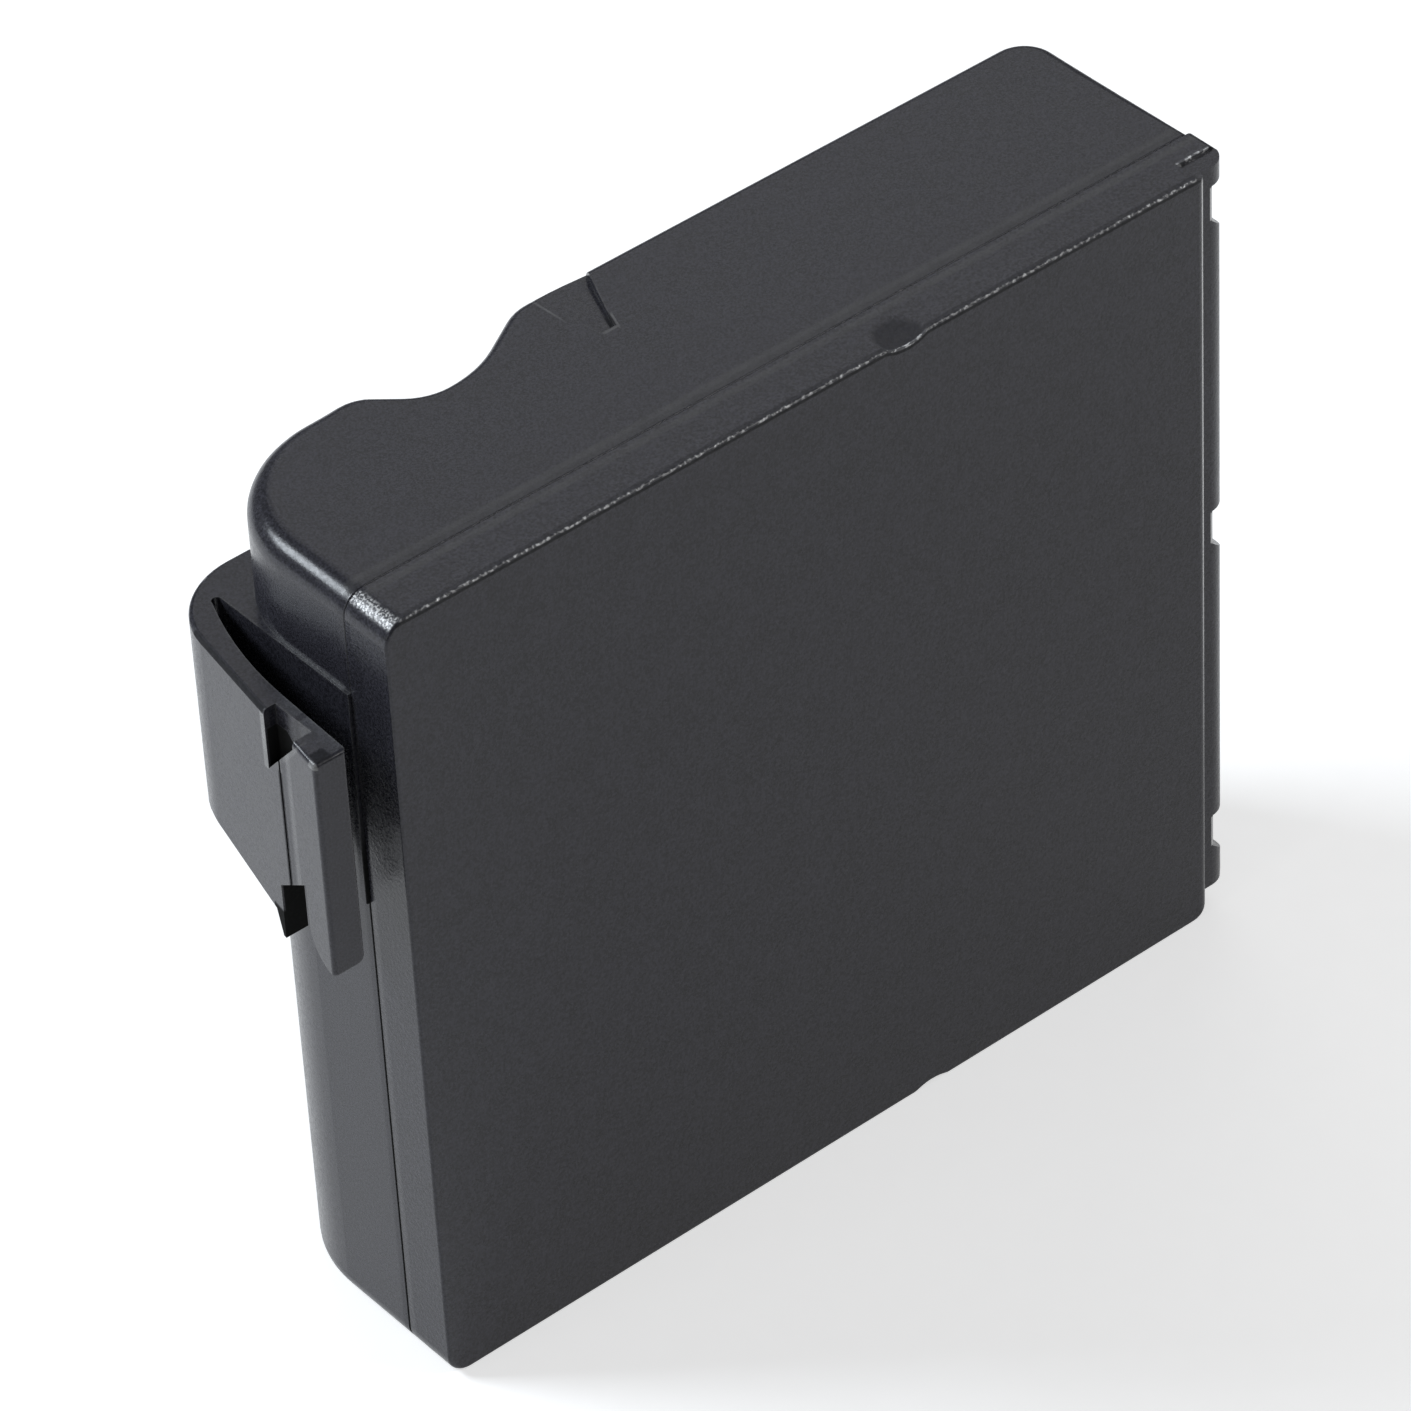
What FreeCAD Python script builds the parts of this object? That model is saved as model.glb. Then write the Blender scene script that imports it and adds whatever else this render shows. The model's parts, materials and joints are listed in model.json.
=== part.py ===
import FreeCAD, Part
import math
import os

# A battery pack of four round cells in a two-piece moulded case, standing upright.
# All sizes are in millimetres. While it is built, X runs from the latch-end wall to the contact end,
# Y from the front face to the back and Z up from the bottom. The last step moves the whole pack so
# that its origin is under the middle of its box.

# Cells, two with the capped end up and two with it down
CELL_COUNT = 4
CELLS_UP = 2
CELL_DIAMETER = 18.4
CELL_LENGTH = 65.0
CELL_GAP = 0.1
CELL_EDGE = 0.7
CAP_DIAMETER = 8.6
CAP_HEIGHT = 0.8
CAP_EDGE = 0.3
CRIMP_DEPTH = 0.45
CRIMP_WIDTH = 1.2
CRIMP_FROM_CAP = 3.6
RING_HOLE = 9.4
RING_INSET = 0.9
RING_THICKNESS = 0.3

# Straps, cards and pads round the cells
CELL_SIDE_PLAY = 0.35
CRADLE_CLEARANCE = 0.2
STRAP_THICKNESS = 0.2
STRAP_WIDTH = 8.0
STRAP_OVERHANG = 5.0
TAB_WIDTH = 3.0
TAB_OFFSET = 2.0
SOLDER_LENGTH = 5.0
CARD_THICKNESS = 0.4
CARD_WIDTH = 11.0
CARD_MARGIN = 2.0
CARD_SLOT_CLEARANCE = 0.2
RIB_HEIGHT = 1.7
RIB_WIDTH = 1.2
RIB_SPACING = 8.6
RIB_MARGIN = 3.0
PAD_SPACE = 0.6
PAD_CLEARANCE = 0.05
PAD_LENGTH = 52.0
PAD_FROM_RIM = 0.5
PAD_FROM_ROUND_END = 0.2

# Circuit board, its parts and the contacts
SHEET_CLEARANCE = 0.05
SHEET_THICKNESS = 0.2
SHEET_WIDTH = 12.0
BOARD_THICKNESS = 0.8
BOARD_SIDE_INSET = 0.9
BOARD_MARGIN = 0.8
CONTACT_SPACE = 1.15
CONTACT_COUNT = 5
CONTACT_PITCH = 4.4
CONTACT_WIDTH = 2.8
CONTACT_LENGTH = 8.0
CONTACT_SHEET = 0.3
CONTACT_TO_WALL = 0.1
WINDOW_WIDTH = 2.4
WINDOW_LENGTH = 6.2
CHIP_HEIGHT = 0.9
GAUGE_CHIP_SIZE = 5.0
MOSFET_WIDTH = 5.0
MOSFET_LENGTH = 6.0
MOSFET_PITCH = 7.0
RESISTOR_WIDTH = 6.4
RESISTOR_LENGTH = 3.2
RESISTOR_HEIGHT = 0.6
PART_SPACING = 2.0
FUSE_LENGTH = 8.0
FUSE_WIDTH = 3.4
FUSE_HEIGHT = 1.1
FUSE_OFFSET = 1.8
FUSE_TAB = 4.0
LEAD_DIAMETER = 0.9
LEAD_BEND = 2.0
LEAD_DROP = 5.0
LEAD_CLEARANCE = 0.05
THERMISTOR_DIAMETER = 1.6
THERMISTOR_LENGTH = 3.0
THERMISTOR_WIRE = 0.5
THERMISTOR_WIRE_PITCH = 1.4
THERMISTOR_CLEARANCE = 0.05
THERMISTOR_ANGLE = 46.0
THERMISTOR_RISE = 12.0

# Case
WALL = 1.9
COVER_WALL = 1.9
SEAM_DEPTH = 4.8
SEAM_EDGE = 0.12
LIP_THICKNESS = 0.95
LIP_CLEARANCE = 0.1
TONGUE_LENGTH = 1.2
ROUND_END_RADIUS = 10.5
BACK_CORNER_RADIUS = 3.0
LATCH_END_EDGE = 2.0
ROUND_END_EDGE = 1.6
HUMP_EDGE = 1.4
BACK_EDGE = 1.0
CONTACT_END_TOP_EDGE = 0.6
CONTACT_END_LOW_EDGE = 4.8
CAVITY_CORNER = 0.5

# Finger groove in the back, over the valley between the first two cells
GROOVE_DEPTH = 3.85
GROOVE_OFFSET = -0.25
GROOVE_NEAR_RADIUS = 4.5
GROOVE_NEAR_ANGLE = 42.0
GROOVE_FAR_RADIUS = 10.0
GROOVE_FAR_ANGLE = 31.0
HUMP_RADIUS = 4.0
SHOULDER_RADIUS = 4.5

# Ramped dent in the top, beside the groove at the back edge
DENT_FROM_SHOULDER = 0.35
DENT_WIDTH = 5.7
DENT_START_DEPTH = 0.2
DENT_DEPTH = 0.8
DENT_REACH = 7.0
DENT_TIP_OFFSET = 1.2
DENT_TIP_WIDTH = 1.25
DENT_TIP_DEPTH = 0.35
DENT_RUNOUT = 0.5

# Spring latch on the latch end, moulded in one with the housing
LATCH_DROP = 8.75
LATCH_HEIGHT = 19.75
LATCH_CLIMB = 2.4
LATCH_CLIMB_END = 18.0
LATCH_ROOT = 4.7
LATCH_BEND_RADIUS = 7.0
LATCH_BEND_FROM_WALL = 2.75
LATCH_ANGLE = 9.15
LATCH_FRONT_INSET = 0.2
LATCH_EDGE = 0.4
LEDGE_WIDTH = 0.25
GAP_WIDTH = 3.75
GAP_STRAIGHT = 7.8
GAP_DRIFT = 0.35
GAP_TIP_RADIUS = 0.4
GAP_TIP_FROM_BACK = 3.3
BAR_EDGE = 0.35
BAR_LOW_CORNER = 0.8
CREASE_FROM_FRONT = 5.5
CREASE_WIDTH = 0.25
CREASE_DEPTH = 0.3
CATCH_FROM_FRONT = 7.4
CATCH_LENGTH = 4.2
TOP_CATCH_DEPTH = 5.4
TOP_CATCH_FRONT_DEPTH = 0.7
LOW_CATCH_DEPTH = 3.3
LOW_CATCH_FRONT_DEPTH = 6.4
TOOTH_DROP = 1.8
TOOTH_TIP = 0.35
TOOTH_LENGTH = 1.1
TOOTH_ROOT_RISE = 0.3
BAR_CORNER_RADIUS = 2.6
CATCH_SKIN = 0.6

# Front cover with a lowered, notched strip along the contact end
COVER_EDGE = 0.25
COVER_END_PROUD = 0.42
STRIP_WIDTH = 2.85
STRIP_STEP = 0.6
STRIP_ROUND = 2.0
STRIP_BOTTOM = 2.1
STRIP_END_REACH = 1.7
PANEL_EDGE = 0.9
PANEL_EDGE_TURN = 65.0
PANEL_TOP_CORNER = 0.8
PANEL_BOTTOM_CORNER = 2.3
NOTCH_COUNT = 3
NOTCH_PITCH = 31.0
NOTCH_FROM_TOP = 2.0
NOTCH_HEIGHT = 3.2
NOTCH_DEPTH = 1.9
NOTCH_RAMP = 1.75
NOTCH_REACH = 3.2
CORNER_CUT_WIDTH = 3.85
CORNER_CUT_REACH = 2.35
CORNER_CUT_DEPTH = 0.25
DIMPLE_WIDTH = 4.4
DIMPLE_DEPTH = 0.6
DIMPLE_FROM_WALL = 48.4
DIMPLE_FROM_FRONT = 1.0

# Sizes that follow from the ones above
CELL_RADIUS = CELL_DIAMETER / 2
CELL_PITCH = CELL_DIAMETER + CELL_GAP
CELL_END_SPACE = STRAP_THICKNESS + CARD_THICKNESS + RIB_HEIGHT
FIRST_CELL_X = WALL + PAD_SPACE + CELL_RADIUS
LAST_CELL_X = FIRST_CELL_X + (CELL_COUNT - 1) * CELL_PITCH
CELL_Y = COVER_WALL + CELL_SIDE_PLAY + CELL_RADIUS
CELL_BOTTOM = WALL + CELL_END_SPACE
CELL_TOP = CELL_BOTTOM + CELL_LENGTH
SHEET_X = LAST_CELL_X + CELL_RADIUS + SHEET_CLEARANCE
BOARD_X = SHEET_X + SHEET_THICKNESS
BOARD_FACE_X = BOARD_X + BOARD_THICKNESS
END_WALL_X = BOARD_FACE_X + CONTACT_SPACE
BODY_LENGTH = END_WALL_X + WALL
BODY_HEIGHT = CELL_TOP + CELL_END_SPACE + WALL
BODY_THICKNESS = CELL_Y + CELL_RADIUS + CELL_SIDE_PLAY + WALL
MIDDLE_Z = BODY_HEIGHT / 2
COVER_LENGTH = BODY_LENGTH + COVER_END_PROUD
PANEL_LENGTH = COVER_LENGTH - STRIP_WIDTH
BOARD_WIDTH = CELL_DIAMETER - 2 * BOARD_SIDE_INSET
BOARD_BOTTOM = CELL_BOTTOM + BOARD_MARGIN
BOARD_TOP = CELL_TOP - BOARD_MARGIN
CONTACTS_HALF = ((CONTACT_COUNT - 1) * CONTACT_PITCH + CONTACT_WIDTH) / 2
GROOVE_X = FIRST_CELL_X + CELL_PITCH / 2 + GROOVE_OFFSET
REBATE_DEPTH = TONGUE_LENGTH + LIP_CLEARANCE
LATCH_TOP = BODY_HEIGHT - LATCH_DROP
LATCH_BOTTOM = LATCH_TOP - LATCH_HEIGHT
CATCH_Y = LATCH_FRONT_INSET + CATCH_FROM_FRONT
CATCH_FRONT_Y = CATCH_Y - CATCH_LENGTH
LEVER_INNER_X = -(LEDGE_WIDTH + GAP_WIDTH)
OVERCUT = 5.0
BEYOND_LATCH_X = LEVER_INNER_X - LATCH_BEND_RADIUS - OVERCUT
TINY = 1e-6
AXIS_X = FreeCAD.Vector(1, 0, 0)
AXIS_Y = FreeCAD.Vector(0, 1, 0)
AXIS_Z = FreeCAD.Vector(0, 0, 1)


def vec(x, y, z=0.0):
    return FreeCAD.Vector(x, y, z)


def line(a, b):
    return Part.LineSegment(a, b).toShape()


def around(centre, radius, deg):
    """The point at an angle about a centre, in plan."""
    turn = math.radians(deg)
    return centre + vec(radius * math.cos(turn), radius * math.sin(turn))


def arc(centre, radius, start_deg, end_deg):
    """An arc in plan about a centre, from one angle to another."""
    middle_deg = (start_deg + end_deg) / 2
    points = [around(centre, radius, deg) for deg in (start_deg, middle_deg, end_deg)]
    return Part.Arc(*points).toShape()


def tangent_arc(start, heading, end):
    """An arc in plan that leaves start along heading and ends at end."""
    chord = end - start
    sine = heading.x * chord.y - heading.y * chord.x
    cosine = heading.x * chord.x + heading.y * chord.y
    bulge = chord.Length / 2 * math.tan(math.atan2(sine, cosine) / 2)
    side = vec(chord.y, -chord.x).normalize()
    return Part.Arc(start, start + chord * 0.5 + side * bulge, end).toShape()


def box(x0, x1, y0, y1, z0, z1):
    return Part.makeBox(x1 - x0, y1 - y0, z1 - z0, vec(x0, y0, z0))


def disc(x, y, radius, z0, z1):
    return Part.makeCylinder(radius, z1 - z0, vec(x, y, z0))


def prism(points, direction):
    """A closed polygon pushed along a direction."""
    return Part.Face(Part.makePolygon(points + points[:1])).extrude(direction)


def slab(face, z0, z1):
    """A plan face pushed up from one height to another."""
    lifted = face.copy()
    lifted.translate(vec(0, 0, z0))
    return lifted.extrude(vec(0, 0, z1 - z0))


def plan_face(edges):
    return Part.Face(Part.Wire(edges))


def straight_edges(shape, direction, keep):
    """Straight edges along a direction whose middle passes a test."""
    found = []
    for edge in shape.Edges:
        if edge.Curve.TypeId == "Part::GeomLine":
            if edge.Curve.Direction.cross(direction).Length < TINY and keep(edge.BoundBox.Center):
                found.append(edge)
    return found


def edges_in_plane(shape, y):
    """Edges that lie in the upright plane at one depth."""
    found = []
    for edge in shape.Edges:
        if abs(edge.BoundBox.YMin - y) < TINY and abs(edge.BoundBox.YMax - y) < TINY:
            found.append(edge)
    return found


def cell_x(index):
    return FIRST_CELL_X + index * CELL_PITCH


def points_up(index):
    return index < CELLS_UP


def groove_run():
    """The part of the back outline over the finger groove, with the places where it starts and ends."""
    back = BODY_THICKNESS
    near = math.radians(GROOVE_NEAR_ANGLE)
    far = math.radians(GROOVE_FAR_ANGLE)
    near_centre = vec(GROOVE_X, back - GROOVE_DEPTH + GROOVE_NEAR_RADIUS)
    far_centre = vec(GROOVE_X, back - GROOVE_DEPTH + GROOVE_FAR_RADIUS)
    near_low = around(near_centre, GROOVE_NEAR_RADIUS, 270 - GROOVE_NEAR_ANGLE)
    far_low = around(far_centre, GROOVE_FAR_RADIUS, 270 + GROOVE_FAR_ANGLE)
    near_high_y = back - HUMP_RADIUS * (1 - math.cos(near))
    far_high_y = back - SHOULDER_RADIUS * (1 - math.cos(far))
    near_high = vec(near_low.x - (near_high_y - near_low.y) / math.tan(near), near_high_y)
    far_high = vec(far_low.x + (far_high_y - far_low.y) / math.tan(far), far_high_y)
    hump_centre = vec(near_high.x - HUMP_RADIUS * math.sin(near), back - HUMP_RADIUS)
    shoulder_centre = vec(far_high.x + SHOULDER_RADIUS * math.sin(far), back - SHOULDER_RADIUS)
    edges = [
        arc(hump_centre, HUMP_RADIUS, 90, 90 - GROOVE_NEAR_ANGLE),
        line(near_high, near_low),
        arc(near_centre, GROOVE_NEAR_RADIUS, 270 - GROOVE_NEAR_ANGLE, 270),
        arc(far_centre, GROOVE_FAR_RADIUS, 270, 270 + GROOVE_FAR_ANGLE),
        line(far_low, far_high),
        arc(shoulder_centre, SHOULDER_RADIUS, 90 + GROOVE_FAR_ANGLE, 90),
    ]
    return edges, hump_centre.x, shoulder_centre.x


def body_outline(front_y):
    """Plan of the case behind a front line: round latch end, groove and far back corner."""
    back = BODY_THICKNESS
    end_centre = vec(ROUND_END_RADIUS, back - ROUND_END_RADIUS)
    far_centre = vec(BODY_LENGTH - BACK_CORNER_RADIUS, back - BACK_CORNER_RADIUS)
    groove, hump_x, shoulder_x = groove_run()
    edges = [
        line(vec(0, front_y), vec(0, end_centre.y)),
        arc(end_centre, ROUND_END_RADIUS, 180, 90),
        line(vec(end_centre.x, back), vec(hump_x, back)),
    ]
    edges += groove
    edges += [
        line(vec(shoulder_x, back), vec(far_centre.x, back)),
        arc(far_centre, BACK_CORNER_RADIUS, 90, 0),
        line(vec(BODY_LENGTH, far_centre.y), vec(BODY_LENGTH, front_y)),
        line(vec(BODY_LENGTH, front_y), vec(0, front_y)),
    ]
    return plan_face(edges)


def edge_radius(point):
    """How much the housing's top or bottom edge is rounded at one of the corners of its outline."""
    back = BODY_THICKNESS
    if point.x < TINY:
        return LATCH_END_EDGE
    if (point - vec(ROUND_END_RADIUS, back, point.z)).Length < TINY:
        return ROUND_END_EDGE
    if (point - vec(groove_run()[1], back, point.z)).Length < TINY:
        return HUMP_EDGE
    if point.y < SEAM_DEPTH + TINY:
        return CONTACT_END_TOP_EDGE if point.z > MIDDLE_Z else CONTACT_END_LOW_EDGE
    return BACK_EDGE


def eased_body():
    """The housing's outside: upright walls with rounded top and bottom edges."""
    solid = slab(body_outline(SEAM_DEPTH), 0, BODY_HEIGHT)
    document = FreeCAD.newDocument("easing")
    base = document.addObject("Part::Feature", "base")
    base.Shape = solid
    rounding = document.addObject("Part::Fillet", "rounding")
    rounding.Base = base
    spans = []
    for number, edge in enumerate(solid.Edges, 1):
        level = edge.BoundBox.ZLength < TINY
        if level and edge.BoundBox.YMax > SEAM_DEPTH + TINY:
            ends = [edge.valueAt(edge.FirstParameter), edge.valueAt(edge.LastParameter)]
            spans.append((number, edge_radius(ends[0]), edge_radius(ends[1])))
    rounding.Edges = spans
    document.recompute()
    eased = rounding.Shape.copy()
    FreeCAD.closeDocument(document.Name)
    return eased.makeFillet(SEAM_EDGE, edges_in_plane(eased, SEAM_DEPTH))


def rounded_block(x0, x1, y0, y1, inset):
    """A block with the case's front outline drawn in by an inset, its edges along Y rounded."""
    block = box(x0 + inset, x1 - inset, y0, y1, inset, BODY_HEIGHT - inset)
    middle = (x0 + x1) / 2
    corners = (
        (LATCH_END_EDGE, lambda p: p.x < middle),
        (CONTACT_END_TOP_EDGE, lambda p: p.x > middle and p.z > MIDDLE_Z),
        (CONTACT_END_LOW_EDGE, lambda p: p.x > middle and p.z < MIDDLE_Z),
    )
    for radius, keep in corners:
        block = block.makeFillet(max(radius - inset, CAVITY_CORNER), straight_edges(block, AXIS_Y, keep))
    return block


def lever_corner():
    """Front outer corner of the latch lever."""
    centre = vec(LATCH_BEND_FROM_WALL, BODY_THICKNESS - LATCH_BEND_RADIUS)
    tangent = around(centre, LATCH_BEND_RADIUS, 180 - LATCH_ANGLE)
    run = tangent.y - LATCH_FRONT_INSET
    return vec(tangent.x - run * math.tan(math.radians(LATCH_ANGLE)), LATCH_FRONT_INSET)


def gap_line():
    """The straight stretch of the lever's inner face, front end first."""
    front = vec(LEVER_INNER_X, LATCH_FRONT_INSET)
    return front, front + vec(GAP_DRIFT, GAP_STRAIGHT)


def latch_outline():
    """Plan of the latch: out from the back, round the bend, forward, and back along the gap."""
    back = BODY_THICKNESS
    bend_centre = vec(LATCH_BEND_FROM_WALL, back - LATCH_BEND_RADIUS)
    bend_end = around(bend_centre, LATCH_BEND_RADIUS, 180 - LATCH_ANGLE)
    corner = lever_corner()
    gap_front, gap_bend = gap_line()
    tip_centre = vec(-LEDGE_WIDTH - GAP_TIP_RADIUS, back - GAP_TIP_FROM_BACK)
    tip_near = tip_centre + vec(-GAP_TIP_RADIUS, 0)
    tip_far = tip_centre + vec(GAP_TIP_RADIUS, 0)
    heading = (gap_bend - gap_front).normalize()
    ledge_end = vec(-LEDGE_WIDTH, SEAM_DEPTH)
    root_front = vec(LATCH_ROOT, SEAM_DEPTH)
    root_back = vec(LATCH_ROOT, back)
    return plan_face([
        line(root_back, vec(LATCH_BEND_FROM_WALL, back)),
        arc(bend_centre, LATCH_BEND_RADIUS, 90, 180 - LATCH_ANGLE),
        line(bend_end, corner),
        line(corner, gap_front),
        line(gap_front, gap_bend),
        tangent_arc(gap_bend, heading, tip_near),
        arc(tip_centre, GAP_TIP_RADIUS, 180, 0),
        line(tip_far, ledge_end),
        line(ledge_end, root_front),
        line(root_front, root_back),
    ])


def below_latch():
    """What is cut away under the latch: its lower edge has a tooth and then climbs toward the back."""
    x0 = BEYOND_LATCH_X
    low = LATCH_BOTTOM - OVERCUT
    tip = LATCH_BOTTOM - TOOTH_DROP
    return prism([
        vec(x0, -OVERCUT, low),
        vec(x0, -OVERCUT, LATCH_BOTTOM),
        vec(x0, CATCH_Y, LATCH_BOTTOM),
        vec(x0, CATCH_Y, tip),
        vec(x0, CATCH_Y + TOOTH_TIP, tip),
        vec(x0, CATCH_Y + TOOTH_LENGTH, LATCH_BOTTOM + TOOTH_ROOT_RISE),
        vec(x0, LATCH_CLIMB_END, LATCH_BOTTOM + LATCH_CLIMB),
        vec(x0, BODY_THICKNESS + OVERCUT, LATCH_BOTTOM + LATCH_CLIMB),
        vec(x0, BODY_THICKNESS + OVERCUT, low),
    ], vec(LATCH_ROOT + OVERCUT - x0, 0, 0))


def catch_cut(heights, x1):
    """A cut through the lever behind a catch, from outside to a given depth."""
    x0 = BEYOND_LATCH_X
    places = zip((CATCH_Y, CATCH_Y, CATCH_FRONT_Y, CATCH_FRONT_Y), heights)
    return prism([vec(x0, y, z) for y, z in places], vec(x1 - x0, 0, 0))


def bar_corner_cut(x1):
    """What rounds the lower corner of the lever's front bar, next to the lower catch."""
    x0 = BEYOND_LATCH_X
    centre = vec(x0, CATCH_FRONT_Y - BAR_CORNER_RADIUS, LATCH_BOTTOM + BAR_CORNER_RADIUS)
    corner = box(x0, x1, centre.y, CATCH_FRONT_Y + TINY, LATCH_BOTTOM - TINY, centre.z)
    return corner.cut(Part.makeCylinder(BAR_CORNER_RADIUS, x1 - x0, centre, AXIS_X))


def bar_low_corner_cut():
    """What rounds the lower corner of the front bar along the lever's inner face."""
    front, back = gap_line()
    heading = (back - front).normalize()
    radius = BAR_LOW_CORNER
    start = front - heading * OVERCUT + vec(0, 0, LATCH_BOTTOM)
    reach = OVERCUT + CATCH_FRONT_Y
    corner = prism([
        start + vec(-radius, 0, -radius),
        start + vec(radius, 0, -radius),
        start + vec(radius, 0, radius),
        start + vec(-radius, 0, radius),
    ], heading * reach)
    return corner.cut(Part.makeCylinder(radius, reach, start + vec(-radius, 0, radius), heading))


def crease():
    """A fine upright line sunk into the lever's outer face behind its front bar."""
    front = LATCH_FRONT_INSET + CREASE_FROM_FRONT
    face_x = lever_corner().x + CREASE_FROM_FRONT * math.tan(math.radians(LATCH_ANGLE))
    return box(BEYOND_LATCH_X, face_x + CREASE_DEPTH, front, front + CREASE_WIDTH,
               LATCH_BOTTOM - OVERCUT, LATCH_TOP + OVERCUT)


def latch():
    """The spring lever with its front bar and its two catches."""
    body = slab(latch_outline(), LATCH_BOTTOM - TOOTH_DROP, LATCH_TOP)
    rims = []
    for edge in body.Edges:
        place = edge.BoundBox
        outer = place.Center.x < LEVER_INNER_X and place.YLength > CATCH_FROM_FRONT
        if outer and place.ZMin > LATCH_TOP - TINY:
            rims.append(edge)
    body = body.makeFillet(LATCH_EDGE, rims)
    front = LATCH_FRONT_INSET + TINY
    body = body.makeFillet(BAR_EDGE, straight_edges(body, AXIS_Z, lambda p: p.y < front))
    body = body.cut(below_latch())
    high = LATCH_TOP + OVERCUT
    low = LATCH_BOTTOM - OVERCUT
    top_back = LATCH_TOP - TOP_CATCH_DEPTH
    top_front = LATCH_TOP - TOP_CATCH_FRONT_DEPTH
    low_back = LATCH_BOTTOM + LOW_CATCH_DEPTH
    low_front = LATCH_BOTTOM + LOW_CATCH_FRONT_DEPTH
    through_x = LEVER_INNER_X + GAP_WIDTH / 2
    body = body.cut(crease())
    body = body.cut(catch_cut((top_back, high, high, top_front), LEVER_INNER_X - CATCH_SKIN))
    body = body.cut(catch_cut((low, low_back, low_front, low), through_x))
    return body.cut(bar_corner_cut(through_x)).cut(bar_low_corner_cut())


def dent():
    """A ramp sunk into the top that narrows from the back edge toward the front."""
    shoulder_x = groove_run()[2]
    top = BODY_HEIGHT
    wires = []
    sections = (
        (BODY_THICKNESS + DENT_RUNOUT, shoulder_x + DENT_FROM_SHOULDER, DENT_WIDTH, DENT_DEPTH),
        (BODY_THICKNESS - DENT_REACH, shoulder_x + DENT_FROM_SHOULDER + DENT_TIP_OFFSET,
         DENT_TIP_WIDTH, DENT_TIP_DEPTH),
    )
    for y, x0, width, depth in sections:
        lift = vec(0, 0, DENT_RUNOUT)
        start = vec(x0 + DENT_START_DEPTH, y, top - DENT_START_DEPTH)
        step = vec(x0 + width, y, top - depth)
        near_rim = vec(x0 - DENT_RUNOUT, y, top) + lift
        far_rim = vec(x0 + width, y, top) + lift
        wires.append(Part.makePolygon([near_rim, start, step, far_rim, near_rim]))
    return Part.makeLoft(wires, True, True)


def ribs():
    """Ribs on the housing's floor and ceiling that bear on the cards over the cell ends."""
    solids = []
    for side in (-1, 1):
        y = CELL_Y + side * RIB_SPACING / 2
        for z in (WALL, BODY_HEIGHT - WALL - RIB_HEIGHT):
            solids.append(box(WALL + RIB_MARGIN, SHEET_X - RIB_MARGIN,
                              y - RIB_WIDTH / 2, y + RIB_WIDTH / 2, z, z + RIB_HEIGHT))
    return solids


def contact_z(index):
    return MIDDLE_Z + (index - (CONTACT_COUNT - 1) / 2) * CONTACT_PITCH


def housing():
    """The deep rear shell with its latch, cell cradles, ribs and contact windows."""
    body = eased_body().fuse(latch())
    inside = body_outline(SEAM_DEPTH - 2 * WALL).makeOffset2D(-WALL)
    cavity = slab(inside, WALL, BODY_HEIGHT - WALL)
    cradles = [disc(cell_x(i), CELL_Y, CELL_RADIUS + CRADLE_CLEARANCE, WALL, BODY_HEIGHT - WALL)
               for i in range(CELL_COUNT)]
    body = body.cut(cavity.fuse(cradles))
    rebate = rounded_block(0, BODY_LENGTH, SEAM_DEPTH - OVERCUT, SEAM_DEPTH + REBATE_DEPTH, LIP_THICKNESS)
    body = body.cut(rebate)
    body = body.fuse(ribs())
    for index in range(CONTACT_COUNT):
        z = contact_z(index)
        body = body.cut(box(END_WALL_X - WALL / 2, BODY_LENGTH + OVERCUT,
                            CELL_Y - WINDOW_LENGTH / 2, CELL_Y + WINDOW_LENGTH / 2,
                            z - WINDOW_WIDTH / 2, z + WINDOW_WIDTH / 2))
    return body.cut(dent()).removeSplitter()


def cover_outline():
    """Plan of the cover: flat panel, small step, and the strip with its rounded outer edge."""
    round_centre = vec(COVER_LENGTH - STRIP_ROUND, STRIP_STEP + STRIP_ROUND)
    edge_centre = vec(PANEL_LENGTH - PANEL_EDGE, PANEL_EDGE)
    edge_end = around(edge_centre, PANEL_EDGE, 270 + PANEL_EDGE_TURN)
    step = vec(edge_end.x, STRIP_STEP)
    round_start = vec(round_centre.x, STRIP_STEP)
    round_end = vec(COVER_LENGTH, round_centre.y)
    return plan_face([
        line(vec(0, SEAM_DEPTH), vec(0, 0)),
        line(vec(0, 0), vec(edge_centre.x, 0)),
        arc(edge_centre, PANEL_EDGE, 270, 270 + PANEL_EDGE_TURN),
        line(edge_end, step),
        line(step, round_start),
        arc(round_centre, STRIP_ROUND, 270, 360),
        line(round_end, vec(COVER_LENGTH, SEAM_DEPTH)),
        line(vec(COVER_LENGTH, SEAM_DEPTH), vec(0, SEAM_DEPTH)),
    ])


def panel_corner_cut():
    """What lowers the strip beside the raised panel, and sets the corner back under the strip's end."""
    panel = box(-OVERCUT, PANEL_LENGTH, -OVERCUT, STRIP_END_REACH, 0, BODY_HEIGHT)
    top_edge = straight_edges(panel, AXIS_Y, lambda p: p.x > 0 and p.z > MIDDLE_Z)
    panel = panel.makeFillet(PANEL_TOP_CORNER, top_edge)
    low_edge = straight_edges(panel, AXIS_Y, lambda p: p.x > PANEL_LENGTH / 2 and p.z < MIDDLE_Z)
    panel = panel.makeFillet(PANEL_BOTTOM_CORNER, low_edge)
    x0 = PANEL_LENGTH / 2
    x1 = COVER_LENGTH + OVERCUT
    beside = box(x0, x1, -OVERCUT, STRIP_STEP, -OVERCUT, BODY_HEIGHT + OVERCUT)
    under = box(x0, x1, -OVERCUT, STRIP_END_REACH, -OVERCUT, STRIP_BOTTOM)
    return beside.fuse(under).cut(panel)


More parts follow.
